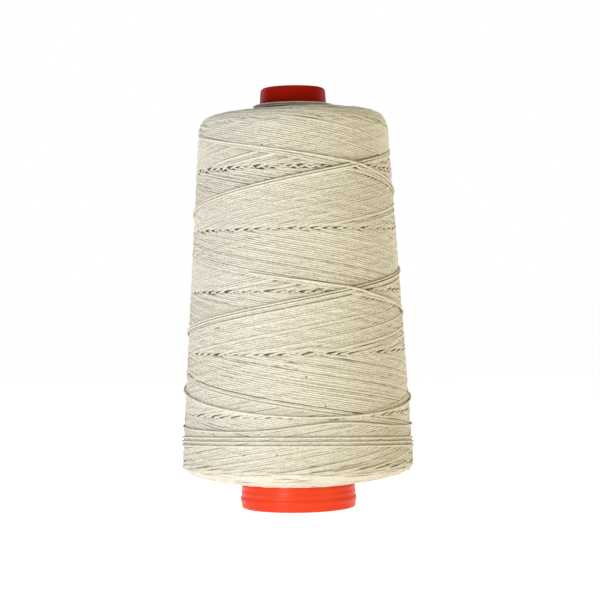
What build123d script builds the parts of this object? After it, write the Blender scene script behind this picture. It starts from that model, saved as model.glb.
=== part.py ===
"""A cross-wound cone of waxed thread: a moulded plastic cone tube and the thread wound on it.

The frame: origin at the centre of the core's base plane, +Z up the axis towards the small end,
-Y towards the front. Angles round the axis are in degrees, from the front (-Y) towards +X.
The thread is one length. It is split here by winding stage, in the order it would come off.
"""

from build123d import *
import math
import os

# The moulded core: a standard textile cone tube, 3 degrees 30 minutes, 170 mm long.
CORE_LENGTH = 170.0
CORE_HALF_ANGLE = 3.5
NOSE_RADIUS = 13.1
NOSE_ROUND = 1.75
CORE_WALL = 2.0
CORE_SLOPE = math.tan(math.radians(CORE_HALF_ANGLE))

# The foot of the core: a plain rim, one broad rib and two fine ribs.
FOOT_RADIUS = 23.2
FOOT_HEIGHT = 4.9
FOOT_ROUND = 0.9
BROAD_RIB_HEIGHT = 3.5
BROAD_RIB_HALF_WIDTH = 1.25
BROAD_RIB_PROUD = 0.3
FINE_RIB_HEIGHTS = (6.2, 8.7)
FINE_RIB_HALF_WIDTH = 0.8
FINE_RIB_PROUD = 0.12

# The two cylindrical seats that a holder's cone or spindle centres on.
BASE_SEAT_RADIUS = 20.7
BASE_SEAT_TOP = 8.0
NOSE_SEAT_RADIUS = 10.9
NOSE_SEAT_LENGTH = 6.0
SEAT_CHAMFER = 0.4

# The wound package.
PACKAGE_BOTTOM = 10.2
PACKAGE_TOP = 161.4
SIDE_LOW = (47.25, 18.8)
SIDE_HIGH = (39.0, 149.0)
STAGE_THICKNESS = 8.0
WINDING_GAP = 0.05
SIDE_SLOPE = (SIDE_LOW[0] - SIDE_HIGH[0]) / (SIDE_HIGH[1] - SIDE_LOW[1])

# The collar of turns round the core at the small end.
COLLAR_RADIUS = 16.6
COLLAR_HEIGHT = 1.6
COLLAR_ROUND = 0.6

# Single threads that lie on the package.
THREAD_RADIUS = 0.45
THREAD_LIFT = 0.08
THREAD_SPACING = 2 * (THREAD_RADIUS + THREAD_LIFT)
PATH_STEP = 15.0

# The raised pairs rise round the front with the winding's own helix, in mm each turn.
HELIX_RISE = 50.0
RAISED_PAIR_REACH = 115.0
UPPER_PAIR_HEIGHT = 131.0
MIDDLE_PAIR_HEIGHT = 83.2

# Each crossing thread falls the other way and rides over a raised pair. It falls more steeply
# past the pair. Falls are in mm each degree, and angles are where it crosses and where it starts.
CROSSING_FALL = 0.15
CROSSING_EXTRA_FALL = 0.04
CROSSING_BEND = 10.0
CROSSING_LIFT = 1.15
CROSSING_LIFT_REACH = 22.5
UPPER_CROSSING = (38.0, -82.0)
MIDDLE_CROSSING = (32.0, -28.0)
CROSSING_PAST = 90.0

# Three nearly level turns of one thread, close together low on the package.
BUNDLE_HEIGHT = 28.2
BUNDLE_TILT = 3.2
BUNDLE_HIGH_SIDE = -5.0
BUNDLE_PITCH = 1.6
BUNDLE_START = -180.0
BUNDLE_TURNS = 3

# The slack turn is level but for an arch at the front right.
SLACK_HEIGHT = 33.3
SLACK_ARCH = 3.5
SLACK_ARCH_ANGLE = 20.0
SLACK_ARCH_REACH = 30.0
SLACK_REACH = 170.0

# The last turn sags at the front right, and ends at the take-off point, where the free end hinges.
LAST_TURN_HEIGHT = 46.6
LAST_TURN_SAG = 7.6
LAST_TURN_LOW_SIDE = 16.0
LAST_TURN_START = -160.0
TAKE_OFF_ANGLE = 150.0
FREE_END_SPAN = 62.0
FREE_END_DROP = 9.0
PIVOT_GAP = 0.06


def core_radius(z):
    """Radius of the core's outer cone at height z."""
    return NOSE_RADIUS + (CORE_LENGTH - z) * CORE_SLOPE


def side_radius(z):
    """Radius of the package's straight side at height z."""
    return SIDE_LOW[0] - (z - SIDE_LOW[1]) * SIDE_SLOPE


def revolved(*lines):
    """Solid of revolution about Z from a closed outline drawn as (radius, height)."""
    face = make_face([edge for line in lines for edge in line.edges()])
    return revolve(Plane.XZ * face, Axis.Z)


def frustum(radius_at, z_low, z_high):
    """Solid frustum about Z between two heights, with radius_at(z) as its radius."""
    outline = Polyline(
        (0, z_low), (radius_at(z_low), z_low), (radius_at(z_high), z_high), (0, z_high), close=True
    )
    return revolved(outline)


def rib(height, half_width, proud):
    """One moulded rib: a ring of lens section that stands proud of the core's wall."""
    wall = max(core_radius(height), FOOT_RADIUS if height < FOOT_HEIGHT else 0.0)
    crest = ThreePointArc(
        (wall, height - half_width), (wall + proud, height), (wall, height + half_width)
    )
    root = Polyline(
        (wall, height + half_width),
        (wall - CORE_WALL / 2, height + half_width),
        (wall - CORE_WALL / 2, height - half_width),
        (wall, height - half_width),
    )
    return revolved(crest, root)


def make_cone_core():
    """The one-piece plastic cone tube: outer cone, ribbed foot, tapered bore and two seats."""
    nose_edge = (NOSE_RADIUS, CORE_LENGTH)
    body_outline = Polyline(
        (0, 0), (FOOT_RADIUS, 0), (FOOT_RADIUS, FOOT_HEIGHT), (core_radius(FOOT_HEIGHT), FOOT_HEIGHT),
        nose_edge, (0, CORE_LENGTH), close=True,
    )
    body = revolved(body_outline)
    round_edges = body.edges().filter_by(GeomType.CIRCLE)
    body = fillet(round_edges.sort_by(Axis.Z)[-1], NOSE_ROUND)
    body = fillet(body.edges().filter_by(GeomType.CIRCLE).sort_by(Axis.Z)[0], FOOT_ROUND)
    body += rib(BROAD_RIB_HEIGHT, BROAD_RIB_HALF_WIDTH, BROAD_RIB_PROUD)
    for height in FINE_RIB_HEIGHTS:
        body += rib(height, FINE_RIB_HALF_WIDTH, FINE_RIB_PROUD)
    nose_seat_low = CORE_LENGTH - NOSE_SEAT_LENGTH
    bore_outline = Polyline(
        (0, 0),
        (BASE_SEAT_RADIUS + SEAT_CHAMFER, 0),
        (BASE_SEAT_RADIUS, SEAT_CHAMFER),
        (BASE_SEAT_RADIUS, BASE_SEAT_TOP),
        (core_radius(BASE_SEAT_TOP) - CORE_WALL - SEAT_CHAMFER, BASE_SEAT_TOP),
        (core_radius(nose_seat_low) - CORE_WALL, nose_seat_low),
        (NOSE_SEAT_RADIUS, nose_seat_low),
        (NOSE_SEAT_RADIUS, CORE_LENGTH - SEAT_CHAMFER),
        (NOSE_SEAT_RADIUS + SEAT_CHAMFER, CORE_LENGTH),
        (0, CORE_LENGTH),
        close=True,
    )
    return body - revolved(bore_outline)


def make_package():
    """The whole wound body with its crowned ends, before it is split into winding stages."""
    side_direction = (-SIDE_SLOPE, 1)
    bore_low = core_radius(PACKAGE_BOTTOM) + WINDING_GAP
    bore_high = core_radius(PACKAGE_TOP) + WINDING_GAP
    bottom = Spline(
        (bore_low, PACKAGE_BOTTOM), (34.0, 12.0), (43.3, 14.2), SIDE_LOW,
        tangents=[(1, 0.03), side_direction],
    )
    side = Line(SIDE_LOW, SIDE_HIGH)
    top = Spline(
        SIDE_HIGH, (38.1, 155.8), (35.2, 159.0), (26.0, 161.0), (COLLAR_RADIUS, PACKAGE_TOP),
        tangents=[side_direction, (-1, 0)],
    )
    land = Polyline((COLLAR_RADIUS, PACKAGE_TOP), (bore_high, PACKAGE_TOP), (bore_low, PACKAGE_BOTTOM))
    return revolved(bottom, side, top, land)


def make_winding_stages():
    """Splits the package into three nested stages along cones parallel to the core."""
    package = make_package()
    stages = []
    for number in (1, 2):
        offset = STAGE_THICKNESS * number
        inside = frustum(lambda z: core_radius(z) + offset, 0, CORE_LENGTH)
        outside = frustum(lambda z: core_radius(z) + offset + WINDING_GAP, 0, CORE_LENGTH)
        stages.append(package & inside)
        package = package - outside
    stages.append(package)
    return stages


def make_nose_collar():
    """The few turns that climbed above the package's end and grip the core."""
    low = PACKAGE_TOP + WINDING_GAP
    high = low + COLLAR_HEIGHT
    inner = core_radius(low) + WINDING_GAP
    outline = Polyline(
        (inner, low), (COLLAR_RADIUS, low), (COLLAR_RADIUS, high), (inner, high), close=True
    )
    collar = revolved(outline)
    return fillet(collar.edges().filter_by(GeomType.CIRCLE).group_by(Axis.Z)[-1], COLLAR_ROUND)


def point_on_side(angle, z, lift):
    """Centre of a thread that lies on the package's side, lift clear of it."""
    radius = side_radius(z) + lift + THREAD_RADIUS
    turn = math.radians(angle)
    return Vector(radius * math.sin(turn), -radius * math.cos(turn), z)


def laid_thread(height_at, start, end, lift_at=lambda angle: THREAD_LIFT):
    """A round thread laid on the side from one angle to another, at height_at(angle)."""
    steps = math.ceil((end - start) / PATH_STEP)
    angles = [start + (end - start) * step / steps for step in range(steps + 1)]
    path = Spline(*[point_on_side(angle, height_at(angle), lift_at(angle)) for angle in angles])
    section = Plane(origin=path @ 0, z_dir=path % 0) * Circle(THREAD_RADIUS)
    return sweep(section, path=path)


def pair_height(front_height, angle):
    """Height of a raised pair's lower thread."""
    return front_height + HELIX_RISE * angle / 360


def raised_pair(front_height):
    """Two proud threads side by side, rising round the front."""
    threads = [
        laid_thread(
            lambda a: pair_height(front_height, a) + offset, -RAISED_PAIR_REACH, RAISED_PAIR_REACH
        )
        for offset in (0, THREAD_SPACING)
    ]
    return Compound(children=threads)


def crossing_thread(front_height, crossing):
    """A thread laid the other way, from the left side over a raised pair and down the right side."""
    crossing_angle, start = crossing
    crossing_height = pair_height(front_height, crossing_angle) + THREAD_SPACING / 2

    def height_at(angle):
        past = angle - crossing_angle
        bend = math.hypot(past, CROSSING_BEND) - CROSSING_BEND
        return crossing_height - CROSSING_FALL * past - CROSSING_EXTRA_FALL * bend

    def lift_at(angle):
        share = min(1.0, abs(angle - crossing_angle) / CROSSING_LIFT_REACH)
        return THREAD_LIFT + CROSSING_LIFT * math.cos(share * math.pi / 2) ** 2

    return laid_thread(height_at, start, crossing_angle + CROSSING_PAST, lift_at)


def tilted(height, tilt, high_side, angle):
    """Height of a turn that is level but for a tilt, highest at one side."""
    return height + tilt * math.cos(math.radians(angle - high_side))


def low_bundle():
    """The three turns of the low bundle, as one thread."""

    def height_at(angle):
        level = tilted(BUNDLE_HEIGHT, BUNDLE_TILT, BUNDLE_HIGH_SIDE, angle)
        return level - BUNDLE_PITCH * angle / 360

    return laid_thread(height_at, BUNDLE_START, BUNDLE_START + 360 * BUNDLE_TURNS)


def slack_turn():
    """The slack turn, all but its far side."""

    def height_at(angle):
        from_arch = (angle - SLACK_ARCH_ANGLE) / SLACK_ARCH_REACH
        return SLACK_HEIGHT + SLACK_ARCH * math.exp(-from_arch * from_arch)

    return laid_thread(height_at, -SLACK_REACH, SLACK_REACH)


def last_turn_height(angle):
    """Height of the last turn at an angle."""
    return tilted(LAST_TURN_HEIGHT, -LAST_TURN_SAG, LAST_TURN_LOW_SIDE, angle)


def make_last_turn():
    """The outermost turn, up to just short of the take-off point."""
    radius = side_radius(last_turn_height(TAKE_OFF_ANGLE))
    gap_angle = math.degrees((THREAD_RADIUS + PIVOT_GAP) / radius)
    return laid_thread(last_turn_height, LAST_TURN_START, TAKE_OFF_ANGLE - gap_angle)


def make_free_end():
    """The thread's tail: it starts with a round end at the take-off point and droops."""
    start_height = last_turn_height(TAKE_OFF_ANGLE)

    def height_at(angle):
        share = (angle - TAKE_OFF_ANGLE) / FREE_END_SPAN
        return start_height - FREE_END_DROP * share * share

    tail = laid_thread(height_at, TAKE_OFF_ANGLE, TAKE_OFF_ANGLE + FREE_END_SPAN)
    pivot = point_on_side(TAKE_OFF_ANGLE, start_height, THREAD_LIFT)
    return tail + Pos(pivot) * Sphere(THREAD_RADIUS)


def main():
    inner, middle, outer = make_winding_stages()
    parts = {
        "cone_core": make_cone_core(),
        "inner_windings": inner,
        "middle_windings": middle,
        "outer_windings": outer,
        "nose_collar_turns": make_nose_collar(),
        "raised_pair_upper": raised_pair(UPPER_PAIR_HEIGHT),
        "raised_pair_middle": raised_pair(MIDDLE_PAIR_HEIGHT),
        "crossing_thread_upper": crossing_thread(UPPER_PAIR_HEIGHT, UPPER_CROSSING),
        "crossing_thread_middle": crossing_thread(MIDDLE_PAIR_HEIGHT, MIDDLE_CROSSING),
        "low_turn_bundle": low_bundle(),
        "slack_turn": slack_turn(),
        "last_turn": make_last_turn(),
        "free_end": make_free_end(),
    }
    os.makedirs("parts", exist_ok=True)
    for name, shape in parts.items():
        export_step(shape, f"parts/{name}.step")


main()
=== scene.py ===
"""Looks for a cross-wound cone of waxed thread on a moulded plastic cone tube.

The thread is laid turn by turn on a height map of the package, so each strand rides over the
strands below it. Lengths are in millimetres until a mesh is written, which is in metres.
Angles run round the axis from the front (-Y) towards +X.
"""

import math

import bpy
import numpy as np
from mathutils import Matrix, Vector


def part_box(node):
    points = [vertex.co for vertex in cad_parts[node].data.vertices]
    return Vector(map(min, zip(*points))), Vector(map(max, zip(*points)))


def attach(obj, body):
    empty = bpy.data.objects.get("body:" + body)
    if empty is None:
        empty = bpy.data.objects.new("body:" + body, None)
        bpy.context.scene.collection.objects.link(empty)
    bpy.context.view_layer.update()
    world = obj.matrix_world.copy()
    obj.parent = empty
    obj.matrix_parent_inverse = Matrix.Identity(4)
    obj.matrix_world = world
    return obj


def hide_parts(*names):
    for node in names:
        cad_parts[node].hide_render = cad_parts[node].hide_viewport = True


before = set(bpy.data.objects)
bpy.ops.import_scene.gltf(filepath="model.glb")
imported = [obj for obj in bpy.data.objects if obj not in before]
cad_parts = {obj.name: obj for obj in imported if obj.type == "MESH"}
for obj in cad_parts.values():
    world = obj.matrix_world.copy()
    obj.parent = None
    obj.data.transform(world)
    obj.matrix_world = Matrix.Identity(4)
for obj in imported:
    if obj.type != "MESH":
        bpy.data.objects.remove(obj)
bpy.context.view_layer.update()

MM = 0.001
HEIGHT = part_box("cone_core")[1].z
NOSE_FROM = 0.8
PACKAGE_NODES = ("inner_windings", "middle_windings", "outer_windings")

# The thread and its section, drawn finer on top, where it shows.
THREAD_HALF_WIDTH = 0.5
THREAD_HALF_HEIGHT = 0.37
SECTION_DEGREES = (-20, 20, 55, 90, 125, 160, 200)
ROUND_SECTION = tuple(range(0, 360, 30))
PLY_PITCH = 3.4
PLY_DEPTH = 0.22
PLIES = 3

# The height map over the package: columns round the axis, rows along the outline.
COLUMNS = 1440
ROW_STEP = 0.2
STEPS_PER_TURN = 720
RING_EVERY = 4

# The winding: three turns up and three down, then one strand's width further round.
TURNS_PER_STROKE = 3
STROKES_TO_COVER = 58
CYCLES = 118
CYCLE_TURNS = 2 * TURNS_PER_STROKE
RISE_PER_TURN = 48.4
HALF_TRAVERSE = RISE_PER_TURN * TURNS_PER_STROKE / 2
REVERSAL_TURNS = 0.07

rng = np.random.default_rng(20)


# ---- the package's outline, from the CAD solids ----

BASE_TOLERANCE = 0.01
TANGENT_REACH = 4
SIDE_SHARE = 0.8
ROW_GUARD = 1.001


def running_mean(values, reach):
    """Mean over the neighbours within reach on each side."""
    kernel = np.ones(2 * reach + 1) / (2 * reach + 1)
    return np.convolve(np.pad(values, reach, mode="edge"), kernel, mode="valid")


def node_points(node):
    """A CAD node's vertices in millimetres."""
    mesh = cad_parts[node].data
    flat = np.empty(len(mesh.vertices) * 3)
    mesh.vertices.foreach_get("co", flat)
    return flat.reshape(-1, 3) / MM


def turn_of(a, b, c):
    """Positive where the path a, b, c turns left."""
    return (b[0] - a[0]) * (c[1] - a[1]) - (b[1] - a[1]) * (c[0] - a[0])


def package_outline():
    """(radius, height) along the wound body, from the core at the base round to the nose."""
    points = np.vstack([node_points(node) for node in PACKAGE_NODES])
    flat = np.column_stack([np.hypot(points[:, 0], points[:, 1]), points[:, 2]])
    flat = np.unique(flat.round(3), axis=0)
    flat = flat[np.lexsort((flat[:, 0], flat[:, 1]))]
    hull = []
    for point in flat:
        while len(hull) > 1 and turn_of(hull[-2], hull[-1], point) <= 0:
            hull.pop()
        hull.append(point)
    start = flat[flat[:, 1] < flat[0, 1] + BASE_TOLERANCE][:, 0].min()
    return np.vstack([(start, flat[0, 1]), hull])


def resample(outline, step):
    """The outline at equal steps, with its outward normals."""
    lengths = np.hypot(*np.diff(outline, axis=0).T)
    along = np.concatenate([[0], np.cumsum(lengths)])
    s = np.arange(0, along[-1], step)
    r = np.interp(s, along, outline[:, 0])
    z = np.interp(s, along, outline[:, 1])
    tangent = np.column_stack([running_mean(np.gradient(line), TANGENT_REACH) for line in (r, z)])
    tangent /= np.linalg.norm(tangent, axis=1)[:, None]
    return s, r, z, np.column_stack([tangent[:, 1], -tangent[:, 0]])


S, OUT_R, OUT_Z, OUT_N = resample(package_outline(), ROW_STEP)
ROWS = len(S)


def rows_at(s):
    """Row numbers, not rounded, for places along the outline; never past the last row."""
    return np.clip(np.asarray(s) / ROW_STEP, 0, ROWS - ROW_GUARD)


def s_at_height(z):
    """The place on the package's side at a height."""
    side = OUT_R > OUT_R.max() * SIDE_SHARE
    return np.interp(z, OUT_Z[side], S[side])


# The small end has settled towards the left.
SLUMP = 1.7
SLUMP_BAND = 9.0
SLUMP_HIGH_SIDE = math.radians(95)
SLUMP_INNER_RADIUS = 17.0
SLUMP_OUTER_RADIUS = 19.5


def slump(angle, r, z):
    """How far the small end has settled: most at the left, none at the right or at the core."""
    near_end = np.clip((z - (OUT_Z[-1] - SLUMP_BAND)) / SLUMP_BAND, 0, 1)
    off_core = np.clip((r - SLUMP_INNER_RADIUS) / (SLUMP_OUTER_RADIUS - SLUMP_INNER_RADIUS), 0, 1)
    return SLUMP * near_end * off_core * (1 - np.cos(angle - SLUMP_HIGH_SIDE)) / 2


def on_package(turns, s, height):
    """Points at an angle in turns, a place along the outline and a height above it."""
    rows = rows_at(s)
    r = np.interp(rows, np.arange(ROWS), OUT_R) + height * np.interp(rows, np.arange(ROWS), OUT_N[:, 0])
    z = np.interp(rows, np.arange(ROWS), OUT_Z) + height * np.interp(rows, np.arange(ROWS), OUT_N[:, 1])
    angle = 2 * math.pi * np.asarray(turns)
    z = z - slump(angle, r, z)
    return np.column_stack([r * np.sin(angle), -r * np.cos(angle), z])


def normals_on_package(turns, s):
    """Outward normals at an angle in turns and a place along the outline."""
    rows = rows_at(s)
    nr = np.interp(rows, np.arange(ROWS), OUT_N[:, 0])
    nz = np.interp(rows, np.arange(ROWS), OUT_N[:, 1])
    angle = 2 * math.pi * np.asarray(turns)
    return np.column_stack([nr * np.sin(angle), -nr * np.cos(angle), nz])


# ---- the winding, strand by strand, on a height map ----

BARE = -3.0
surface = np.full((ROWS, COLUMNS), BARE)

# A strand's rounded top over the rows it covers, and the rows it bears on.
FOOTPRINT = np.arange(-2, 3)
FOOTPRINT_MARGIN = 0.02
ACROSS = FOOTPRINT * ROW_STEP / (THREAD_HALF_WIDTH + FOOTPRINT_MARGIN)
DROP = np.sqrt(np.maximum(0, 1 - ACROSS ** 2)) * THREAD_HALF_HEIGHT
BEARING = np.arange(-1, 2)
BEARING_EDGE = 0.2
BEARING_DROP = np.array([BEARING_EDGE, THREAD_HALF_HEIGHT, BEARING_EDGE])
EDGE_ROWS = 3

BRIDGE_REACH = 6
BRIDGE_FALL = 0.3
BRIDGE_SMOOTHING = 2
SETTLE = 0.1
LEVEL_REACH = 40
HIGHEST_STEP = 0.45


def cells(turns, s, margin=0):
    """Rows and columns of the height map at places on the package."""
    columns = np.round((turns % 1) * COLUMNS).astype(int) % COLUMNS
    rows = np.clip(np.round(rows_at(s)).astype(int), margin, ROWS - 1 - margin)
    return rows, columns


def bridged(height, step):
    """A stiff thread over bumps: it spans from one to the next instead of following them."""
    out = height.copy()
    padded = np.pad(height, BRIDGE_REACH, mode="edge")
    count = len(height)
    for shift in range(-BRIDGE_REACH, BRIDGE_REACH + 1):
        fall = BRIDGE_FALL * (shift * step) ** 2
        out = np.maximum(out, padded[BRIDGE_REACH + shift:BRIDGE_REACH + shift + count] - fall)
    out = running_mean(out, BRIDGE_SMOOTHING)
    level = running_mean(height, LEVEL_REACH)
    step_up = out - level
    return level + np.where(step_up > 0, HIGHEST_STEP * np.tanh(step_up / HIGHEST_STEP), step_up)


def lay(turns, s, step):
    """Lays one stretch of thread on the surface map and returns the height of its centre."""
    rows, columns = cells(turns, s, EDGE_ROWS)
    below = surface[rows[:, None] + BEARING, columns[:, None]]
    rest = (below + BEARING_DROP).max(1) - SETTLE
    centre = bridged(rest, step)
    top = centre[:, None] + DROP
    for side in (0, 1):
        place = (rows[:, None] + FOOTPRINT, (columns[:, None] + side) % COLUMNS)
        surface[place] = np.maximum(surface[place], top)
    return centre


def stroke_place(turn):
    """How far up the traverse a turn of a cycle is, in turns: straight up, straight down, round ends."""
    phase = np.mod(turn, CYCLE_TURNS)
    from_end = np.minimum(phase, CYCLE_TURNS - phase)
    to_top = TURNS_PER_STROKE - from_end
    rise = from_end.copy()
    low = from_end < REVERSAL_TURNS
    rise[low] = (from_end[low] ** 2 / REVERSAL_TURNS + REVERSAL_TURNS) / 2
    high = to_top < REVERSAL_TURNS
    rise[high] = TURNS_PER_STROKE - (to_top[high] ** 2 / REVERSAL_TURNS + REVERSAL_TURNS) / 2
    return rise


MIDDLE_HEIGHT = 87.3
S_MIDDLE = s_at_height(MIDDLE_HEIGHT)
FINAL_FRONT_HEIGHT = 83.2
PHASE_JITTER = 0.0006

# Each stroke strays from its path in slow waves, and a few odd cycles stray further.
WANDER = 0.03
WANDER_WAVES = (0.37, 0.83, 1.71, 3.3)
WANDER_EASE = 0.5
ODD_SHARE = 0.06
ODD_WANDER = 4.0

# Strokes turn back at slightly different places, more often short of the full traverse than past it.
END_SPREAD = 0.12
END_OVERSHOOT = 0.4
END_POWER = 8

# Where a rising and a falling strand cross, the later one is pushed off its neighbour, which
# leaves a row of small gaps at each of five heights.
BANDS = 5
PUSH_RANGE = (0.2, 0.75)
BAND_PUSH = np.array([0.0, 0.9, 0.8, 0.95, 1.05, 1.6])
PUSH_RISE_TURNS = 0.004
PUSH_FALL_TURNS = 0.018


def crossing_push(t, cycle_number):
    """How far crossings push each point sideways, in mm along the outline."""
    stroke_turn = np.mod(t, CYCLE_TURNS)
    rising = stroke_turn < TURNS_PER_STROKE
    turn = np.where(rising, stroke_turn, CYCLE_TURNS - stroke_turn)
    band = np.clip(np.round(turn * 2).astype(int), 1, BANDS)
    sizes = rng.uniform(*PUSH_RANGE, (CYCLES + 1, 2, BANDS + 1))
    offset = np.where(rising, 0.5 / STROKES_TO_COVER, 0.0)
    direction = np.where(rising, 1.0, -1.0)
    past = direction * (turn - band / 2 - offset)
    profile = np.exp(-(past / np.where(past < 0, PUSH_RISE_TURNS, PUSH_FALL_TURNS)) ** 2)
    return direction * BAND_PUSH[band] * sizes[cycle_number, rising.astype(int), band] * profile


def wound_turns(t, cycle_number):
    """Angle of every point in turns, set so that the last cycle rises past the front at a set height."""
    drift = -1 / STROKES_TO_COVER / CYCLE_TURNS
    jitter = rng.normal(0, PHASE_JITTER, CYCLES + 1)
    cycle_share = np.mod(t, CYCLE_TURNS) / CYCLE_TURNS
    eased = jitter[cycle_number] * (1 - cycle_share) + jitter[cycle_number + 1] * cycle_share
    last_front_turn = (s_at_height(FINAL_FRONT_HEIGHT) - S_MIDDLE) / RISE_PER_TURN + TURNS_PER_STROKE / 2
    start = -(((CYCLES - 1) * CYCLE_TURNS + last_front_turn) * (1 + drift))
    return t * (1 + drift) + start + eased


def wound_places(t, cycle_number):
    """Place along the outline of every point, with uneven ends, wander and the push of crossings."""
    place = (stroke_place(t) - TURNS_PER_STROKE / 2) * RISE_PER_TURN
    ends = 1 + rng.uniform(-END_SPREAD, END_SPREAD * END_OVERSHOOT, (CYCLES + 1, 2)) / HALF_TRAVERSE
    scale = np.where(place > 0, ends[cycle_number, 0], ends[cycle_number, 1])
    reach = np.abs(place) / HALF_TRAVERSE
    s = S_MIDDLE + place * (1 + (scale - 1) * reach ** END_POWER)
    for waves in WANDER_WAVES:
        phase = rng.uniform(0, 2 * math.pi, CYCLES + 1)
        odd = np.where(rng.random(CYCLES + 1) < ODD_SHARE, ODD_WANDER, 1.0)
        size = WANDER * odd * rng.normal(0, 1, CYCLES + 1) / math.sqrt(waves + WANDER_EASE)
        wave = 2 * math.pi * waves * t / TURNS_PER_STROKE + phase[cycle_number]
        s = s + size[cycle_number] * np.sin(wave)
    return s + crossing_push(t, cycle_number)


def wind():
    """The whole winding: time in turns, angle, place along the outline and centre height of every point."""
    t = np.arange(CYCLES * CYCLE_TURNS * STEPS_PER_TURN) / STEPS_PER_TURN
    cycle_number = (t // CYCLE_TURNS).astype(int)
    turns = wound_turns(t, cycle_number)
    s = wound_places(t, cycle_number)
    heights = np.empty(len(t))
    step = 2 * math.pi * OUT_R.mean() / STEPS_PER_TURN
    for first in range(0, len(t), STEPS_PER_TURN):
        part = slice(first, first + STEPS_PER_TURN)
        heights[part] = lay(turns[part], s[part], step)
    return t, turns, s, heights


SHOWING_MARGIN = 0.03
SWELL_PASSES = 2
LEAST_WOUND = 0.02


def showing(turns, s, heights):
    """True at points where a strand is the top of the finished surface."""
    rows, columns = cells(turns, s, EDGE_ROWS)
    above = surface[rows[:, None] + FOOTPRINT[::2], columns[:, None]]
    own = heights[:, None] + DROP[::2]
    return (above <= own + SHOWING_MARGIN).any(1)


def kept_runs(shown, reach, shortest):
    """Start and stop of each stretch worth drawing: what shows, and a little more each way."""
    wide = np.convolve(shown.astype(float), np.ones(2 * reach + 1), mode="same") > 0.5
    edges = np.flatnonzero(np.diff(np.concatenate([[0], wide.astype(int), [0]])))
    pairs = edges.reshape(-1, 2)
    return pairs[(pairs[:, 1] - pairs[:, 0]) >= shortest]


def smoothed(grid, row_reach, column_reach):
    """A box blur of a height map, wrapped round the axis and held at the two ends."""
    size = 2 * row_reach + 1
    along = np.cumsum(np.pad(grid, ((row_reach + 1, row_reach), (0, 0)), mode="edge"), axis=0)
    grid = (along[size:] - along[:-size]) / size
    size = 2 * column_reach + 1
    around = np.cumsum(np.pad(grid, ((0, 0), (column_reach + 1, column_reach)), mode="wrap"), axis=1)
    return (around[:, size:] - around[:, :-size]) / size


def swells(grid, row_reach, column_reach):
    """A height map's broad swells, from wound cells only."""
    wound = (surface > BARE).astype(float)
    swell = np.where(wound > 0, grid, 0.0)
    for _ in range(SWELL_PASSES):
        swell = smoothed(swell, row_reach, column_reach)
        wound = smoothed(wound, row_reach, column_reach)
    return swell / np.maximum(wound, LEAST_WOUND)


def sample(grid, turns, s):
    """A height map's values at places on the package."""
    return grid[cells(turns, s)]


# ---- meshes ----

def make_mesh(name, points, loops, starts, uvs, shades):
    """A mesh object from arrays: points in mm, faces as loops with starts, a uv per loop.

    Shades are named values per point, for the materials.
    """
    mesh = bpy.data.meshes.new(name)
    mesh.vertices.add(len(points))
    mesh.vertices.foreach_set("co", (points * MM).ravel())
    mesh.loops.add(len(loops))
    mesh.loops.foreach_set("vertex_index", loops.astype(np.int32))
    mesh.polygons.add(len(starts))
    mesh.polygons.foreach_set("loop_start", starts.astype(np.int32))
    mesh.polygons.foreach_set("use_smooth", np.ones(len(starts), dtype=bool))
    mesh.update(calc_edges=True)
    mesh.uv_layers.new(name="strand").data.foreach_set("uv", uvs.ravel())
    for key, values in shades.items():
        mesh.attributes.new(key, "FLOAT", "POINT").data.foreach_set("value", values.astype(np.float32))
    mesh.validate()
    piece = bpy.data.objects.new(name, mesh)
    bpy.context.scene.collection.objects.link(piece)
    return piece


def unit(vectors):
    """Vectors scaled to length one."""
    return vectors / np.maximum(np.linalg.norm(vectors, axis=-1, keepdims=True), 1e-9)


def tube_frames(centres, outward, first_rings):
    """Side and upward directions at each ring; first_rings says where a new strand starts."""
    ahead = np.roll(centres, -1, axis=0)
    behind = np.roll(centres, 1, axis=0)
    last = np.append(first_rings[1:], True)
    ahead[last] = centres[last]
    behind[first_rings] = centres[first_rings]
    along = unit(ahead - behind)
    side = unit(np.cross(along, outward))
    return side, np.cross(side, along)


# The light comes from low down, so the upper side of each strand gets the stronger painted shade.
UPPER_FLANK = 1.5
LOWER_FLANK = 0.7


def ring_corners(centres, side, up, angles, sizes, scale):
    """The corner points of every ring; sizes are the section's half width and half height."""
    across = (np.cos(angles) * sizes[0] * scale)[:, :, None] * side[:, None, :]
    upward = (np.sin(angles) * sizes[1] * scale)[:, :, None] * up[:, None, :]
    return (centres[:, None, :] + across + upward).reshape(-1, 3)


def tube_faces(starts, ends, joined, corners, length):
    """Loops, face starts and uvs: quads from each joined ring to the next, and a cap at each end."""
    corner = np.arange(corners)
    following = (corner + 1) % corners
    low = joined[:, None] * corners
    high = low + corners
    quads = np.stack([low + corner, high + corner, high + following, low + following], -1).reshape(-1, 4)
    v_low = np.broadcast_to(corner / corners, (len(joined), corners))
    v_high = v_low + 1 / corners
    u_low = np.broadcast_to(length[joined][:, None], v_low.shape)
    u_high = np.broadcast_to(length[joined + 1][:, None], v_low.shape)
    uv = np.stack([u_low, v_low, u_high, v_low, u_high, v_high, u_low, v_high], -1).reshape(-1, 2)
    caps = np.vstack([starts[:, None] * corners + corner, ends[:, None] * corners + corner[::-1]])
    cap_uv = np.repeat(np.concatenate([length[starts], length[ends]]), corners)
    loops = np.concatenate([quads.ravel(), caps.ravel()])
    quad_starts = np.arange(len(quads)) * 4
    cap_starts = len(quads) * 4 + np.arange(len(caps)) * corners
    uvs = np.vstack([uv, np.column_stack([cap_uv, np.zeros(len(cap_uv))])])
    return loops, np.concatenate([quad_starts, cap_starts]), uvs


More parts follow.
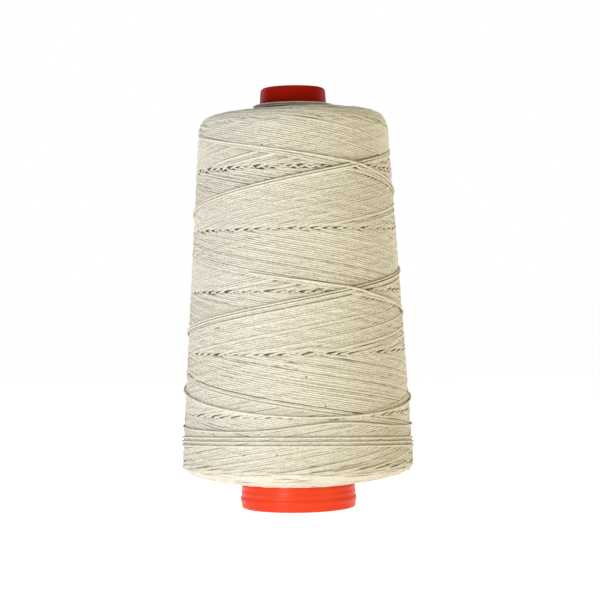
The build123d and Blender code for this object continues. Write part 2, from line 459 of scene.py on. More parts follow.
def tubes(name, strands, section, half_width, half_height, tints, ply_depth=0.0, shade=1.0):
    """One mesh of many closed tubes. Each strand is (centres, outward normals, depth), in mm.

    The section is angles in degrees from the side, with 90 at the top. With ply_depth, twisted
    plies show in the section. Depth is how far the strand lies under the finished surface, which
    sets painted shade in the gaps, and shade is how dark the painted shade on its sides is.
    """
    counts = np.array([len(strand[0]) for strand in strands])
    centres = np.vstack([strand[0] for strand in strands])
    outward = np.vstack([strand[1] for strand in strands])
    depth = np.concatenate([np.broadcast_to(strand[2], len(strand[0])) for strand in strands])
    starts = np.concatenate([[0], np.cumsum(counts)[:-1]])
    first_rings = np.zeros(len(centres), dtype=bool)
    first_rings[starts] = True
    side, up = tube_frames(centres, outward, first_rings)
    steps = np.linalg.norm(centres - np.roll(centres, 1, axis=0), axis=1)
    steps[first_rings] = 0
    length = np.cumsum(steps)
    angles = np.radians(section)
    corners = len(section)
    twist = 2 * math.pi * length[:, None] / PLY_PITCH
    scale = 1 - ply_depth * (1 - np.abs(np.cos(PLIES / 2 * (angles[None, :] - twist))))
    points = ring_corners(centres, side, up, angles, (half_width, half_height), scale)
    joined = np.flatnonzero(~np.append(first_rings[1:], True))
    loops, face_starts, uvs = tube_faces(starts, starts + counts - 1, joined, corners, length)
    # The side value sets the painted shade on a strand's sides, stronger on the upper flank.
    flanks = np.where(np.cos(angles) < 0, UPPER_FLANK, LOWER_FLANK)
    shades = {
        "tint": np.repeat(np.repeat(tints, counts), corners),
        "depth": np.repeat(depth, corners),
        "side": np.tile(shade * (1 - np.sin(angles)) * flanks, len(centres)),
    }
    return make_mesh(name, points, loops, face_starts, uvs, shades)


# ---- where the single threads lie ----

SINGLE_RADIUS = 0.45
PAIR_REACH = 115.0
PAIR_SPACING = 1.0
BUNDLE_TURNS = 3
BUNDLE_PITCH = 1.6
BUNDLE_HIGH_SIDE = -5.0
SLACK_REACH = 170.0
SLACK_ARCH_ANGLE = 20.0
SLACK_ARCH_REACH = 30.0


def heights_of(node):
    """A CAD thread's lowest and highest centre heights, in mm."""
    low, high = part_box(node)
    return low.z / MM + SINGLE_RADIUS, high.z / MM - SINGLE_RADIUS


def pair_heights(node, degrees):
    """Height of a raised pair's lower thread at an angle."""
    low, high = heights_of(node)
    return low + (high - PAIR_SPACING - low) * (degrees + PAIR_REACH) / (2 * PAIR_REACH)


def bundle_heights(node, degrees):
    """Height of the low bundle's thread at an angle, which falls a little each turn."""
    low, high = heights_of(node)
    tilt = (high - low - BUNDLE_PITCH * (BUNDLE_TURNS - 0.5)) / 2
    fall = tilt * (1 - np.cos(np.radians(degrees - BUNDLE_HIGH_SIDE)))
    return high - fall - BUNDLE_PITCH * degrees / 360


def slack_heights(node, degrees):
    """Height of the slack turn at an angle."""
    low, high = heights_of(node)
    return low + (high - low) * np.exp(-((degrees - SLACK_ARCH_ANGLE) / SLACK_ARCH_REACH) ** 2)


# Each groove: a thread, its path, how far above the path (or, below zero, under it) the groove
# lies, and the groove's depth.
GROOVES = (
    ("raised_pair_upper", pair_heights, PAIR_SPACING + 0.7, 0.5),
    ("raised_pair_middle", pair_heights, PAIR_SPACING + 0.7, 0.5),
    ("raised_pair_middle", pair_heights, -0.7, 0.4),
    ("low_turn_bundle", bundle_heights, 0.75, 0.35),
    ("slack_turn", slack_heights, 0.75, 0.35),
)
GROOVE_HALF_WIDTH = 0.5
GROOVE_FROM = -115.0
GROOVE_TO = 75.0
GROOVE_FADE = 50.0


def groove(turns, s):
    """How far the strands just beside the tight single threads are pressed in."""
    degrees = (np.asarray(turns) % 1) * 360
    degrees = np.where(degrees > 180, degrees - 360, degrees)
    in_reach = np.clip(np.minimum(degrees - GROOVE_FROM, GROOVE_TO - degrees) / GROOVE_FADE, 0, 1)
    total = np.zeros(np.shape(turns))
    for node, path, offset, depth in GROOVES:
        above = s - s_at_height(path(node, degrees)) - offset
        total += depth * np.exp(-(above / GROOVE_HALF_WIDTH) ** 2) * in_reach
    return total


# ---- the wound strands ----

BROAD_REACH = (18, 18)
BROAD_SHARE = 0.96
LONG_REACH = (2, 40)
LONG_SHARE = 0.9
SINK = 0.42
HIGHEST_TOP = 0.15
PRESSED_SHARE = 0.9
BAND_MARGIN = 1.5
SHOW_REACH = 6
SHORTEST_RUN = 8
FEWEST_RINGS = 3
STRAND_PIECES = (
    "rising_strands_lower", "rising_strands_upper", "falling_strands_lower", "falling_strands_upper",
)
SHOULDER = 4.0
END_FADE = 24.0
STRAND_TINT = 0.6


def pressed(tops, s):
    """Strand tops with the highest pressed down to the rest, and most so under the last turn."""
    low, high = heights_of("last_turn")
    in_band = (s > s_at_height(low - BAND_MARGIN)) & (s < s_at_height(high + BAND_MARGIN))
    share = np.where(in_band, 1.0, PRESSED_SHARE)
    return tops - share * np.maximum(0, tops - HIGHEST_TOP)


t_wound, turns_wound, s_wound, height_wound = wind()
swell_map = BROAD_SHARE * swells(surface, *BROAD_REACH)
swell_map += LONG_SHARE * swells(surface - swell_map, *LONG_REACH)
cover = pressed(surface - swell_map, S[:, None]) - SINK
top_wound = height_wound + THREAD_HALF_HEIGHT - sample(swell_map, turns_wound, s_wound)
ungrooved = pressed(top_wound, s_wound) - THREAD_HALF_HEIGHT - SINK
settled = ungrooved - groove(turns_wound, s_wound)


def shading_depth(s, heights):
    """How far strand tops lie under the finished surface, for the painted shade in gaps, eased out at the
    tightly packed ends.
    """
    from_end = np.minimum(s - s_at_height(OUT_Z[0]), s_at_height(OUT_Z[-1] - SHOULDER) - s)
    return -(heights + THREAD_HALF_HEIGHT + SINK) * np.clip(from_end / END_FADE, 0, 1)


def ring_indices(start, stop):
    """Every few steps of a run, and its last step."""
    return np.append(np.arange(start, stop - 1, RING_EVERY), stop - 1)


def make_wound_strands():
    """The strands that show, as four pieces: rising and falling, lower and upper."""
    stroke = (t_wound // TURNS_PER_STROKE).astype(int)
    upper = s_wound > S_MIDDLE
    group = 2 * (stroke % 2) + upper
    stroke_tints = rng.normal(0, STRAND_TINT, stroke.max() + 1)
    strands = {number: [] for number in range(4)}
    tints = {number: [] for number in range(4)}
    shown = showing(turns_wound, s_wound, height_wound)
    for start, stop in kept_runs(shown, SHOW_REACH, SHORTEST_RUN):
        places = ring_indices(start, stop)
        cuts = np.flatnonzero(np.diff(group[places])) + 1
        firsts = np.concatenate([[0], cuts])
        lasts = np.concatenate([cuts, [len(places) - 1]])
        for first, last in zip(firsts, lasts):
            part = places[first:last + 1]
            if len(part) < FEWEST_RINGS:
                continue
            centres = on_package(turns_wound[part], s_wound[part], settled[part])
            outward = normals_on_package(turns_wound[part], s_wound[part])
            number = group[part[0]]
            depth = shading_depth(s_wound[part], ungrooved[part])
            strands[number].append((centres, outward, depth))
            tints[number].append(stroke_tints[stroke[part[0]]])
    return [
        tubes(name, strands[number], SECTION_DEGREES, THREAD_HALF_WIDTH, THREAD_HALF_HEIGHT, tints[number])
        for number, name in enumerate(STRAND_PIECES)
    ]


# ---- the end faces, where each layer of the winding turns back ----

ARC_PITCH = 0.62
ARC_SPACING = 7.8
ARC_HALF_SPAN_DEGREES = 21.0
ARC_SPAN_RANGE = (0.75, 1.15)
ARC_RINGS = 12
ARC_DIVE = 1.1
ARC_JITTER = 0.3
ARC_HEIGHT_JITTER = 0.12
ARC_EDGE = 0.4
END_FACE_HEIGHT = 7
TOP_ARCS_FROM_RADIUS = 36.4
BOTTOM_ARCS_FROM_RADIUS = 46.8


def end_arcs(name, s_from, s_to):
    """Overlapping reversal arcs in rings over one end face."""
    strands = []
    for s_ring in np.arange(s_from, s_to, ARC_PITCH):
        radius = np.interp(s_ring, S, OUT_R)
        count = int(2 * math.pi * radius / ARC_SPACING)
        first = rng.uniform(0, 1)
        for number in range(count):
            middle = first + (number + rng.uniform(-ARC_JITTER, ARC_JITTER)) / count
            half_span = ARC_HALF_SPAN_DEGREES * rng.uniform(*ARC_SPAN_RANGE)
            share = np.linspace(-1, 1, ARC_RINGS)
            turns = middle + share * half_span / 360
            s = np.full(ARC_RINGS, s_ring + rng.normal(0, ARC_JITTER))
            height = rng.normal(-THREAD_HALF_HEIGHT, ARC_HEIGHT_JITTER) - ARC_DIVE * share ** 2
            depth = -(height + THREAD_HALF_HEIGHT)
            strands.append((on_package(turns, s, height), normals_on_package(turns, s), depth))
    tints = rng.normal(0, STRAND_TINT, len(strands))
    return tubes(name, strands, SECTION_DEGREES, THREAD_HALF_WIDTH, THREAD_HALF_HEIGHT, tints)


def s_on_end(radius, top):
    """The place along the outline of an end face at a radius."""
    if top:
        end = OUT_Z > OUT_Z[-1] - END_FACE_HEIGHT
        return np.interp(-radius, -OUT_R[end], S[end])
    end = OUT_Z < OUT_Z[0] + END_FACE_HEIGHT
    return np.interp(radius, OUT_R[end], S[end])


# ---- the thread deep inside, in painted shade, which shows between strands ----

BED_DEPTH = 1.9
BED_SEGMENTS = 240
BED_STEP = 5


def make_bed():
    """A closed ring just under the strands, which stands for the windings below, in a colour of painted
    shade.
    """
    rows = np.arange(0, ROWS, BED_STEP)
    turns = np.arange(BED_SEGMENTS) / BED_SEGMENTS
    points = np.concatenate([
        on_package(np.full(len(rows), turn), S[rows], -BED_DEPTH) for turn in turns
    ])
    count = len(rows)
    ring = np.arange(BED_SEGMENTS)[:, None] * count
    next_ring = np.roll(ring, -1, axis=0)
    here = np.arange(count)
    above = (here + 1) % count
    quads = np.stack([ring + here, next_ring + here, next_ring + above, ring + above], -1).reshape(-1, 4)
    uvs = np.zeros((quads.size, 2))
    return make_mesh("thread_bed", points, quads.ravel(), np.arange(len(quads)) * 4, uvs, {})


# ---- the single threads, on the CAD threads' paths ----

SINGLE_STEP_DEGREES = 0.5
SINGLE_SEAT = 0.22
SEAT_OFFSETS = (-0.4, -0.2, 0, 0.2, 0.4)
SEAT_REACH = 4
SEAT_FALL = 0.02
SEAT_SMOOTHING = 3
END_DIVE = 1.5
END_DIVE_DEGREES = 5.0
# Single threads are tinted to the pale end of the thread's colours, as painted light: proud threads read as
# more strongly lit.
SINGLE_PAINTED_LIGHT_TINT = 1.5

# How dark the painted shade on the sides of a thread is, where it is laid, where it is loose and where it
# hangs free.
LAID_SHADE = 1.2
LOOSE_SHADE = 0.5
FREE_END_SHADE = 0.1


def path_angles(start, end):
    """Angles in degrees along a single thread."""
    return np.linspace(start, end, int(abs(end - start) / SINGLE_STEP_DEGREES) + 1)


def rest_height(turns, s):
    """Height of a single thread's centre where it lies on the finished surface."""
    near = np.stack([sample(cover, turns, s + offset) for offset in SEAT_OFFSETS], 1).max(1)
    spread = near.copy()
    for shift in range(-SEAT_REACH, SEAT_REACH + 1):
        spread = np.maximum(spread, np.roll(near, shift) - SEAT_FALL * shift ** 2)
    return running_mean(spread, SEAT_SMOOTHING) + SINGLE_RADIUS - SINGLE_SEAT


def single(angles, heights, lift=0.0, dive=True):
    """Centres and outward normals of a thread laid on the package's side."""
    turns = angles / 360
    s = s_at_height(heights)
    height = rest_height(turns, s) + lift
    if dive:
        from_end = np.minimum(angles - angles[0], angles[-1] - angles)
        height = height - END_DIVE * np.clip(1 - from_end / END_DIVE_DEGREES, 0, 1) ** 2
    return on_package(turns, s, height), normals_on_package(turns, s), 0.0


def single_threads(name, node, paths, radius=SINGLE_RADIUS, shade=LAID_SHADE):
    """A piece made of round, visibly plied threads, in place of a CAD node."""
    tints = rng.normal(SINGLE_PAINTED_LIGHT_TINT, STRAND_TINT / 2, len(paths))
    piece = tubes(name, paths, ROUND_SECTION, radius, radius, tints, PLY_DEPTH, shade)
    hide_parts(node)
    return piece


PAIR_SINK_FROM = 40.0
PAIR_SINK_OVER = 35.0


def raised_pair(node, name, sink):
    """Two proud threads side by side, rising round the front and sinking in at the right."""
    angles = path_angles(-PAIR_REACH, PAIR_REACH)
    rise = pair_heights(node, angles)
    lift = -sink * np.clip((angles - PAIR_SINK_FROM) / PAIR_SINK_OVER, 0, 1)
    paths = [single(angles, rise, lift), single(angles, rise + PAIR_SPACING, lift)]
    return single_threads(name, node, paths)


CROSSING_FALL = 0.15
CROSSING_EXTRA_FALL = 0.04
CROSSING_BEND = 10.0
CROSSING_PAST = 90.0
CROSSING_LIFT = 0.95
CROSSING_LIFT_REACH = 16.0
CROSSING_SUNK = 0.35
CROSSING_SUNK_REACH = 50.0
CROSSING_SUNK_DELAY = 0.4


def crossing_thread(node, name, crossing, start):
    """A thread laid the other way: it starts at one angle and rides over a raised pair at another."""
    low, high = heights_of(node)
    angles = path_angles(start, crossing + CROSSING_PAST)
    past = angles - crossing
    fall = CROSSING_FALL * past + CROSSING_EXTRA_FALL * (np.hypot(past, CROSSING_BEND) - CROSSING_BEND)
    heights = high - (high - low) * (fall - fall[0]) / (fall[-1] - fall[0])
    share = np.clip(np.abs(past) / CROSSING_LIFT_REACH, 0, 1)
    lift = CROSSING_LIFT * np.cos(share * math.pi / 2) ** 2
    lift -= CROSSING_SUNK * np.clip(-past / CROSSING_SUNK_REACH - CROSSING_SUNK_DELAY, 0, 1)
    return single_threads(name, node, [single(angles, heights, lift)])


def low_bundle(node, name):
    """Three nearly level turns, close together low on the package."""
    angles = path_angles(-180, 360 * BUNDLE_TURNS - 180)
    return single_threads(name, node, [single(angles, bundle_heights(node, angles))])


def slack_turn(node, name):
    """A slack turn with an arch at the front right."""
    angles = path_angles(-SLACK_REACH, SLACK_REACH)
    return single_threads(name, node, [single(angles, slack_heights(node, angles))])


LAST_TURN_LOW_SIDE = 16.0
LAST_TURN_START = -160.0
TAKE_OFF = 150.0
FREE_END_SPAN = 62.0
PIVOT_GAP = 0.06
SWEEP_CLEARANCE = 0.06
SWEEP_MARGIN = 1


def last_turn_heights(angles):
    """Heights of the last turn, which sags at the front right."""
    low, high = heights_of("last_turn")
    return (low + high) / 2 - (high - low) / 2 * np.cos(np.radians(angles - LAST_TURN_LOW_SIDE))


def swept_lift():
    """A height above the outline that clears every strand the last turn can pass over."""
    low, high = heights_of("last_turn")
    rows = (S > s_at_height(low - SWEEP_MARGIN)) & (S < s_at_height(high + SWEEP_MARGIN))
    return cover[rows].max() + SINGLE_RADIUS + SWEEP_CLEARANCE


def loose_thread(name, node, body, angles, heights, shade):
    """A thread that moves, clear of the surface it moves over."""
    turns = angles / 360
    s = s_at_height(heights)
    path = (on_package(turns, s, swept_lift()), normals_on_package(turns, s), 0.0)
    piece = single_threads(name, node, [path], shade=shade)
    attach(piece, body)
    return piece


def last_turn(node, name):
    """The outermost turn, up to just short of the take-off point."""
    radius = np.interp(s_at_height(last_turn_heights(TAKE_OFF)), S, OUT_R)
    gap = math.degrees((SINGLE_RADIUS + PIVOT_GAP) / radius)
    angles = path_angles(LAST_TURN_START, TAKE_OFF - gap)
    return loose_thread(name, node, "last_turn", angles, last_turn_heights(angles), LOOSE_SHADE)


def free_end(node, name):
    """The thread's tail, which droops from the take-off point."""
    low, high = heights_of(node)
    angles = path_angles(TAKE_OFF, TAKE_OFF + FREE_END_SPAN)
    share = (angles - TAKE_OFF) / FREE_END_SPAN
    heights = high - (high - low) * share ** 2
    return loose_thread(name, node, "free_end", angles, heights, FREE_END_SHADE)


COLLAR_TURNS_PER_LAYER = 3
COLLAR_LAYERS = 2
COLLAR_THREAD_RADIUS = 0.4
COLLAR_WAVE = 0.08
COLLAR_WAVES = 2.3


def nose_collar(node, name):
    """The few turns that climbed above the package's end and grip the core."""
    low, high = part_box(node)
    outer = high.x / MM - COLLAR_THREAD_RADIUS
    inner = outer - 2 * COLLAR_THREAD_RADIUS * (COLLAR_TURNS_PER_LAYER - 1)
    angles = path_angles(0, 360 * COLLAR_TURNS_PER_LAYER)
    share = angles / angles[-1]
    turn = np.radians(angles)
    paths = []
    for layer in range(COLLAR_LAYERS):
        radius = outer - (outer - inner) * share
        z = low.z / MM + COLLAR_THREAD_RADIUS * (1 + 2 * layer) + COLLAR_WAVE * np.sin(turn * COLLAR_WAVES)
        paths.append((
            np.column_stack([radius * np.sin(turn), -radius * np.cos(turn), z]),
            unit(np.column_stack([np.sin(turn), -np.cos(turn), np.ones(len(turn))])),
            0.0,
        ))
    return single_threads(name, node, paths, COLLAR_THREAD_RADIUS)


# ---- materials ----

class Shader:
    """A material's node tree, with short calls to add and join nodes."""

    def __init__(self, name):
        self.material = bpy.data.materials.new(name)
        self.material.use_nodes = True
        self.tree = self.material.node_tree
        self.surface = self.tree.nodes["Principled BSDF"]

    def add(self, kind, inputs=None, **settings):
        """A new node with settings; inputs are values, or sockets to link from."""
        node = self.tree.nodes.new(kind)
        for key, value in settings.items():
            setattr(node, key, value)
        for key, value in (inputs or {}).items():
            self.join(value, node.inputs[key])
        return node

    def join(self, value, socket):
        """Links a socket, or sets a plain value."""
        if isinstance(value, bpy.types.NodeSocket):
            self.tree.links.new(value, socket)
        else:
            socket.default_value = value

    def math(self, operation, *values):
        """The result of one math node."""
        node = self.tree.nodes.new("ShaderNodeMath")
        node.operation = operation
        for index, value in enumerate(values):
            self.join(value, node.inputs[index])
        return node.outputs[0]

    def noise(self, scale, detail=2.0, vector=None):
        """A noise value from 0 to 1."""
        inputs = {"Scale": scale, "Detail": detail}
        if vector is not None:
            inputs["Vector"] = vector
        return self.add("ShaderNodeTexNoise", inputs).outputs["Fac"]

    def mix(self, share, low, high):
        """A colour between two colours."""
        node = self.add("ShaderNodeMix", data_type="RGBA")
        self.join(share, node.inputs["Factor"])
        self.join(low, node.inputs["A"])
        self.join(high, node.inputs["B"])
        return node.outputs["Result"]

    def attribute(self, name):
        """A named value of the mesh's points."""
        return self.add("ShaderNodeAttribute", attribute_name=name).outputs["Fac"]

    def ramp(self, value, start, end, top):
        """From nothing where a value is at its start, smoothly up to top where it is at its end."""
        inputs = {"Value": value, "From Min": start, "From Max": end, "To Max": top}
        node = self.add("ShaderNodeMapRange", inputs, interpolation_type="SMOOTHSTEP")
        return node.outputs["Result"]

    def finish(self, **inputs):
        """Sets the surface's inputs, with spaces written as underscores."""
        for key, value in inputs.items():
            self.join(value, self.surface.inputs[key.replace("_", " ")])
        return self.material


# Thread drifts slowly between two colours, with spun grain and dark flecks.
PATCH_SCALE = 45.0
PATCH_SHARE = 0.9
PATCH_LEAST = 0.05
TINT_SHARE = -0.22
GRAIN_COLOUR = (0.5, 0.44, 0.3, 1)
GRAIN_SHADE = 0.38
GRAIN_SCALE = 1000.0
GRAIN_FROM = 0.4
GRAIN_FULL = 0.7
FLECK_SCALE = 420.0
FLECK_FROM = 0.86
FLECK_SHADE = 0.6

# A strand's sides are painted browner and darker than its top, as painted shade. Thread seen
# through a gap, from this far under the surface to this far, in mm, gets painted shade.
SIDE_PAINTED_SHADE_COLOUR = (0.29, 0.25, 0.08, 1)
SIDE_SHADE = 0.92
SIDE_FROM = 0.3
SIDE_FULL = 1.3
# The dark colour of the painted shade in gaps, also used for the thread's dark flecks.
GAP_SHADE_AND_FLECK_COLOUR = (0.13, 0.11, 0.025, 1)
BURIED_SHADE = 0.9
SHADOW_FROM = 0.2
SHADOW_FULL = 0.62

# Plies and fibres stand up from the thread; depths are in metres.
FIBRE_STRETCH = 0.5
FIBRES_PER_PLY = 14.0
FIBRE_SCALE = 3.0
FIBRE_HEIGHT = 0.5
THREAD_BUMP = 0.7
THREAD_BUMP_DEPTH = 0.00015
THREAD_ROUGHNESS = 0.48
PATCH_ROUGHNESS = 0.2
THREAD_SHEEN_ROUGHNESS = 0.4
THREAD_SPECULAR = 0.12


def thread_colour(shader, coords, patches, pale, deep):
    """Colour patches, a tint per strand, grain and flecks, then painted shade on the sides and in the gaps.
    """
    share = shader.math("MULTIPLY_ADD", patches, PATCH_SHARE, PATCH_LEAST)
    share = shader.math("MULTIPLY_ADD", shader.attribute("tint"), TINT_SHARE, share)
    colour = shader.mix(share, pale, deep)
    grain = shader.ramp(shader.noise(GRAIN_SCALE, 1.0, coords), GRAIN_FROM, GRAIN_FULL, GRAIN_SHADE)
    colour = shader.mix(grain, colour, GRAIN_COLOUR)
    flecks = shader.math("GREATER_THAN", shader.noise(FLECK_SCALE, 0.0, coords), FLECK_FROM)
    colour = shader.mix(shader.math("MULTIPLY", flecks, FLECK_SHADE), colour, GAP_SHADE_AND_FLECK_COLOUR)
    # Painted shade: darker, browner sides, and darker thread deep in the gaps.
    side = shader.ramp(shader.attribute("side"), SIDE_FROM, SIDE_FULL, SIDE_SHADE)
    colour = shader.mix(side, colour, SIDE_PAINTED_SHADE_COLOUR)
    gap_shade = shader.ramp(shader.attribute("depth"), SHADOW_FROM, SHADOW_FULL, BURIED_SHADE)
    return shader.mix(gap_shade, colour, GAP_SHADE_AND_FLECK_COLOUR)


def thread_relief(shader):
    """A surface normal with twisted plies and fine fibres along them."""
    strand = shader.add("ShaderNodeUVMap", uv_map="strand").outputs["UV"]
    axes = shader.add("ShaderNodeSeparateXYZ", {"Vector": strand})
    turns = shader.math("MULTIPLY_ADD", axes.outputs["X"], 1 / PLY_PITCH, axes.outputs["Y"])
    plies = shader.math("ABSOLUTE", shader.math("SINE", shader.math("MULTIPLY", turns, math.pi * PLIES)))
    fibre_place = shader.add("ShaderNodeCombineXYZ", {
        "X": shader.math("MULTIPLY", axes.outputs["X"], FIBRE_STRETCH),
        "Y": shader.math("MULTIPLY", turns, FIBRES_PER_PLY),
    }).outputs["Vector"]
    height = shader.math("MULTIPLY_ADD", shader.noise(FIBRE_SCALE, 2.0, fibre_place), FIBRE_HEIGHT, plies)
    bump = {"Strength": THREAD_BUMP, "Distance": THREAD_BUMP_DEPTH, "Height": height}
    return shader.add("ShaderNodeBump", bump).outputs["Normal"]


def thread_material(name, pale, deep, sheen):
    """Waxed spun thread, between two colours, with plies and fibres in its relief."""
    shader = Shader(name)
    coords = shader.add("ShaderNodeTexCoord").outputs["Object"]
    patches = shader.noise(PATCH_SCALE, 3.0, coords)
    return shader.finish(
        Base_Color=thread_colour(shader, coords, patches, pale, deep),
        Roughness=shader.math("MULTIPLY_ADD", patches, PATCH_ROUGHNESS, THREAD_ROUGHNESS),
        Normal=thread_relief(shader),
        Sheen_Weight=sheen,
        Sheen_Roughness=THREAD_SHEEN_ROUGHNESS,
        Specular_IOR_Level=THREAD_SPECULAR,
    )


# Moulded plastic; NOSE_ROUGHNESS and NOSE_SPECULAR are added at the nose.
FLOW_SCALE = 30.0
FLOW_SHARE = 0.6
SCUFF_SCALE = 700.0
SCUFF_HEIGHT = 0.3
SCUFF_ROUGHNESS = 0.1
PLASTIC_BUMP = 0.12
PLASTIC_BUMP_DEPTH = 0.0002
PLASTIC_ROUGHNESS = 0.26
NOSE_ROUGHNESS = 0.22
PLASTIC_SPECULAR = 0.1
NOSE_SPECULAR = -0.07


def plastic_material(name, bright, deep, nose):
    """Moulded plastic with faint flow marks and handling scuffs, and painted shade at the nose, which is
    much darker red.
    """
    shader = Shader(name)
    coords = shader.add("ShaderNodeTexCoord").outputs["Object"]
    flow = shader.noise(FLOW_SCALE, 3.0, coords)
    scuffs = shader.noise(SCUFF_SCALE, 4.0, coords)
    height_up = shader.add("ShaderNodeSeparateXYZ", {"Vector": coords}).outputs["Z"]
    # Above NOSE_FROM the plastic takes the nose colour, a much darker red that is painted shade.
    at_nose = shader.math("GREATER_THAN", height_up, HEIGHT * NOSE_FROM)
    colour = shader.mix(shader.math("MULTIPLY", flow, FLOW_SHARE), bright, deep)
    relief = shader.math("MULTIPLY_ADD", scuffs, SCUFF_HEIGHT, flow)
    bump = {"Strength": PLASTIC_BUMP, "Distance": PLASTIC_BUMP_DEPTH, "Height": relief}
    smooth_roughness = shader.math("MULTIPLY_ADD", at_nose, NOSE_ROUGHNESS, PLASTIC_ROUGHNESS)
    return shader.finish(
        Base_Color=shader.mix(at_nose, colour, nose),
        Roughness=shader.math("MULTIPLY_ADD", scuffs, SCUFF_ROUGHNESS, smooth_roughness),
        Normal=shader.add("ShaderNodeBump", bump).outputs["Normal"],
        Specular_IOR_Level=shader.math("MULTIPLY_ADD", at_nose, NOSE_SPECULAR, PLASTIC_SPECULAR),
    )


# The floor glows, a little more for the camera than for the object, so that it reads as white.
FLOOR_REACH = 12.0
FLOOR_COLOUR = (0.85, 0.85, 0.85, 1)
FLOOR_GLOW = 0.76
FLOOR_GLOW_SEEN = 0.9


def floor_material():
    """A plain pale floor with a soft contact shadow."""
    shader = Shader("pale_floor")
    seen = shader.add("ShaderNodeLightPath").outputs["Is Camera Ray"]
    glow = shader.math("MULTIPLY_ADD", seen, FLOOR_GLOW_SEEN - FLOOR_GLOW, FLOOR_GLOW)
    return shader.finish(
        Base_Color=FLOOR_COLOUR, Roughness=0.9,
        Emission_Color=(1, 1, 1, 1), Emission_Strength=glow,
    )


# ---- the scene ----

def make_floor():
    """A wide pale floor under the object."""
    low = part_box("cone_core")[0]
    mesh = bpy.data.meshes.new("floor")
    corners = [(FLOOR_REACH * x, FLOOR_REACH * y, low.z) for x, y in ((-1, -1), (1, -1), (1, 1), (-1, 1))]
    mesh.from_pydata(corners, [], [(0, 1, 2, 3)])
    floor = bpy.data.objects.new("floor", mesh)
    bpy.context.scene.collection.objects.link(floor)
    mesh.materials.append(floor_material())


AMBIENT = 0.11
AMBIENT_COLOUR = (1.0, 0.98, 0.93)


def make_world():
    """White behind the object for the camera, and a weak warm light on the object."""
    world = bpy.data.worlds.new("studio")
    world.use_nodes = True
    nodes = world.node_tree.nodes
    links = world.node_tree.links
    nodes.clear()
    output = nodes.new("ShaderNodeOutputWorld")
    seen = nodes.new("ShaderNodeBackground")
    seen.inputs["Color"].default_value = (1, 1, 1, 1)
    light = nodes.new("ShaderNodeBackground")
    light.inputs["Color"].default_value = (*AMBIENT_COLOUR, 1)
    light.inputs["Strength"].default_value = AMBIENT
    path = nodes.new("ShaderNodeLightPath")
    mix = nodes.new("ShaderNodeMixShader")
    links.new(path.outputs["Is Camera Ray"], mix.inputs["Fac"])
    links.new(light.outputs[0], mix.inputs[1])
    links.new(seen.outputs[0], mix.inputs[2])
    links.new(mix.outputs[0], output.inputs["Surface"])
    bpy.context.scene.world = world


def aimed(obj, target):
    """Turns a light or camera to look at a point."""
    obj.rotation_euler = (target - obj.location).to_track_quat("-Z", "Y").to_euler()


# Each lamp: its name, its place and the point it faces, in object heights from the base centre,
# its size in object heights, its power in watts, and its colour.
LAMPS = (
    ("key", (-1.1, -1.9, 0.24), (0, 0, 0.15), 0.5, 0.62, (0.97, 0.985, 1.0)),
    ("right_fill", (2.4, -1.7, 0.5), (0, 0, 0.4), 0.9, 0.5, (1.0, 0.81, 0.18)),
    ("top_fill", (-0.1, 0.0, 3.0), (0, 0, 1), 1.4, 0.6, (1.0, 1.0, 0.96)),
    ("back_fill_left", (-2.4, 2.6, 1.8), (0, 0, 0.5), 1.2, 1.1, (0.96, 0.98, 1.0)),
    ("back_fill_right", (2.6, 2.4, 1.5), (0, 0, 0.5), 1.2, 0.9, (1.0, 0.97, 0.9)),
)


def make_lamps():
    """Square soft lamps: a low key at the front left, and fills at the right, above and behind."""
    for name, place, target, size, power, colour in LAMPS:
        data = bpy.data.lights.new(name, "AREA")
        data.size = size * HEIGHT
        data.energy = power
        data.color = colour
        lamp = bpy.data.objects.new(name, data)
        lamp.location = Vector(place) * HEIGHT
        bpy.context.scene.collection.objects.link(lamp)
        aimed(lamp, Vector(target) * HEIGHT)


SENSOR_WIDTH = 36.0
CAMERA_LENS = 108.0
CAMERA_DISTANCE = 4.306
CAMERA_HEIGHT = 0.508
CAMERA_SHIFT_X = 0.0072
CAMERA_SHIFT_Y = -0.01
CAMERA_ROLL = math.radians(0.84)


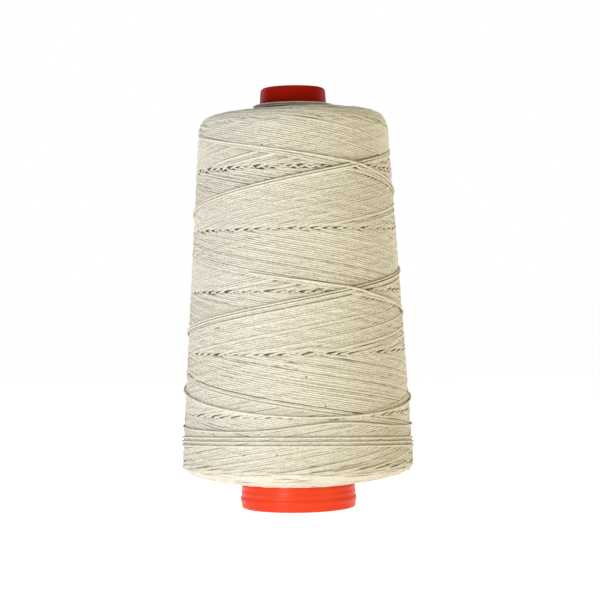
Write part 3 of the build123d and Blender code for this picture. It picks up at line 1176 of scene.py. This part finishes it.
def make_camera():
    """A long lens, level, at about the object's middle, with the object leaning slightly left."""
    data = bpy.data.cameras.new("camera")
    data.sensor_width = SENSOR_WIDTH
    data.lens = CAMERA_LENS
    data.shift_x = CAMERA_SHIFT_X
    data.shift_y = CAMERA_SHIFT_Y
    camera = bpy.data.objects.new("camera", data)
    camera.location = (0, -CAMERA_DISTANCE * HEIGHT, CAMERA_HEIGHT * HEIGHT)
    camera.rotation_euler = (math.pi / 2, CAMERA_ROLL, 0)
    bpy.context.scene.collection.objects.link(camera)
    bpy.context.scene.camera = camera


# ---- everything together ----

pale_thread = thread_material(
    "waxed_thread_look", pale=(0.825, 0.785, 0.7, 1), deep=(0.74, 0.69, 0.575, 1), sheen=0.03
)
# Thread in painted shade, for the bed that shows between the strands.
painted_shade_thread = thread_material(
    "shaded_thread_look", pale=(0.42, 0.35, 0.22, 1), deep=(0.3, 0.24, 0.14, 1), sheen=0.0
)
# The nose colour, a much darker red, is painted shade at the nose.
red_plastic = plastic_material(
    "red_plastic_look",
    bright=(0.745, 0.061, 0.022, 1), deep=(0.66, 0.045, 0.014, 1), nose=(0.38, 0.01, 0.003, 1),
)

wound = make_wound_strands()
for piece in wound:
    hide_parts("outer_windings")
bed = make_bed()
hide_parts("inner_windings", "middle_windings")
top_arcs = end_arcs("reversal_arcs_top", s_on_end(TOP_ARCS_FROM_RADIUS, True), S[-1] - ARC_EDGE)
bottom_arcs = end_arcs("reversal_arcs_bottom", S[0] + ARC_EDGE, s_on_end(BOTTOM_ARCS_FROM_RADIUS, False))
fixed = wound + [bed, top_arcs, bottom_arcs]
fixed += [
    raised_pair("raised_pair_upper", "raised_threads_upper", sink=0.65),
    raised_pair("raised_pair_middle", "raised_threads_middle", sink=0.15),
    crossing_thread("crossing_thread_upper", "crossing_strand_upper", crossing=38.0, start=-82.0),
    crossing_thread("crossing_thread_middle", "crossing_strand_middle", crossing=32.0, start=-28.0),
    low_bundle("low_turn_bundle", "low_bundle_strands"),
    slack_turn("slack_turn", "slack_strand"),
    nose_collar("nose_collar_turns", "nose_collar_strands"),
]
for piece in fixed:
    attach(piece, "wound_cone")
moving = [last_turn("last_turn", "last_turn_strand"), free_end("free_end", "free_end_strand")]
for piece in fixed + moving:
    piece.data.materials.append(painted_shade_thread if piece is bed else pale_thread)
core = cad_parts["cone_core"]
for slot in core.material_slots:
    slot.material = red_plastic

make_floor()
make_world()
make_lamps()
make_camera()
bpy.context.scene.view_settings.view_transform = "Standard"
